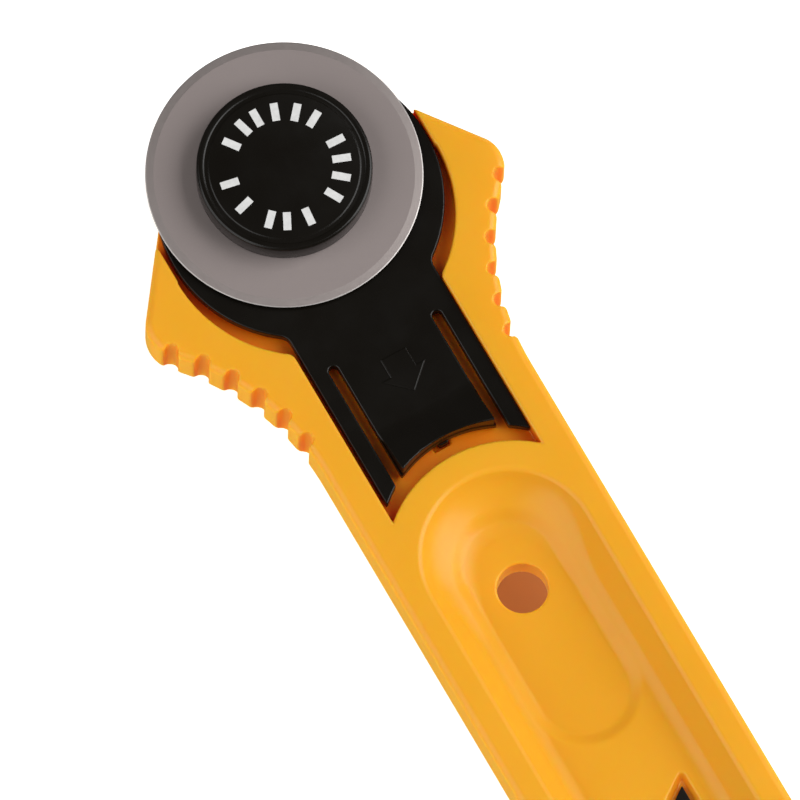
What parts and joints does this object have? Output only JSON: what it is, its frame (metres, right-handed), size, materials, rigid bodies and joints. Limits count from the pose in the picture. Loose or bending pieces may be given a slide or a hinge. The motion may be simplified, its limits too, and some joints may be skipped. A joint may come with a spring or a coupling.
{
  "type": "rotary cutter",
  "caption": "Hand rotary cutter: round blade on a clamping bolt, sliding blade guard with a thumb tongue, flat winged handle with a thumb trough and a hanging hole.",
  "frame": {"origin": "on the bolt axis, at the outer face of the knob on the back of the cutter", "axes": "+Z from the knob to the blade side, along the bolt; +Y from the handle to the blade; +X to the right seen from the blade side with the blade up"},
  "size_m": [0.0408, 0.148, 0.0192],
  "materials": {
    "yellow_plastic": "semi-gloss moulded",
    "badge_black": "satin",
    "black_plastic": "semi-gloss moulded",
    "blade_steel": "fine ground",
    "cap_plastic": "semi-gloss with white printed marks",
    "bolt_steel": "zinc plated",
    "spring_steel": "tempered, bright",
    "washer_steel": "zinc plated",
    "knob_plastic": "satin moulded",
    "insert_brass": "turned"
  },
  "bodies": {
    "handle": {"handle": "yellow_plastic", "badge": "badge_black", "bolt": "bolt_steel", "cap": "cap_plastic", "spring_washer": "spring_steel"},
    "guard": {"guard": "black_plastic"},
    "blade": {"blade": "blade_steel"},
    "washer": {"flat_washer": "washer_steel"},
    "nut": {"knob": "knob_plastic", "nut_insert": "insert_brass"}
  },
  "joints": [
    {"name": "guard_slide", "type": "slide", "parent": "handle", "child": "guard", "axis": [0, 1, 0], "range_m": [0, 0.003]},
    {"name": "blade_spin", "type": "hinge", "parent": "handle", "child": "blade", "pos_m": [0, 0, 0.0164], "axis": [0, 0, 1], "continuous": true},
    {"name": "nut_travel", "type": "slide", "parent": "handle", "child": "washer", "axis": [0, 0, -1], "range_m": [0, 0.0016]},
    {"name": "nut_turn", "type": "hinge", "parent": "washer", "child": "nut", "pos_m": [0, 0, 0], "axis": [0, 0, -1], "range_deg": [0, 720]}
  ],
  "couplings": [
    {"joint": "nut_turn", "follows": "nut_travel", "rad_per_m": 7854}
  ]
}
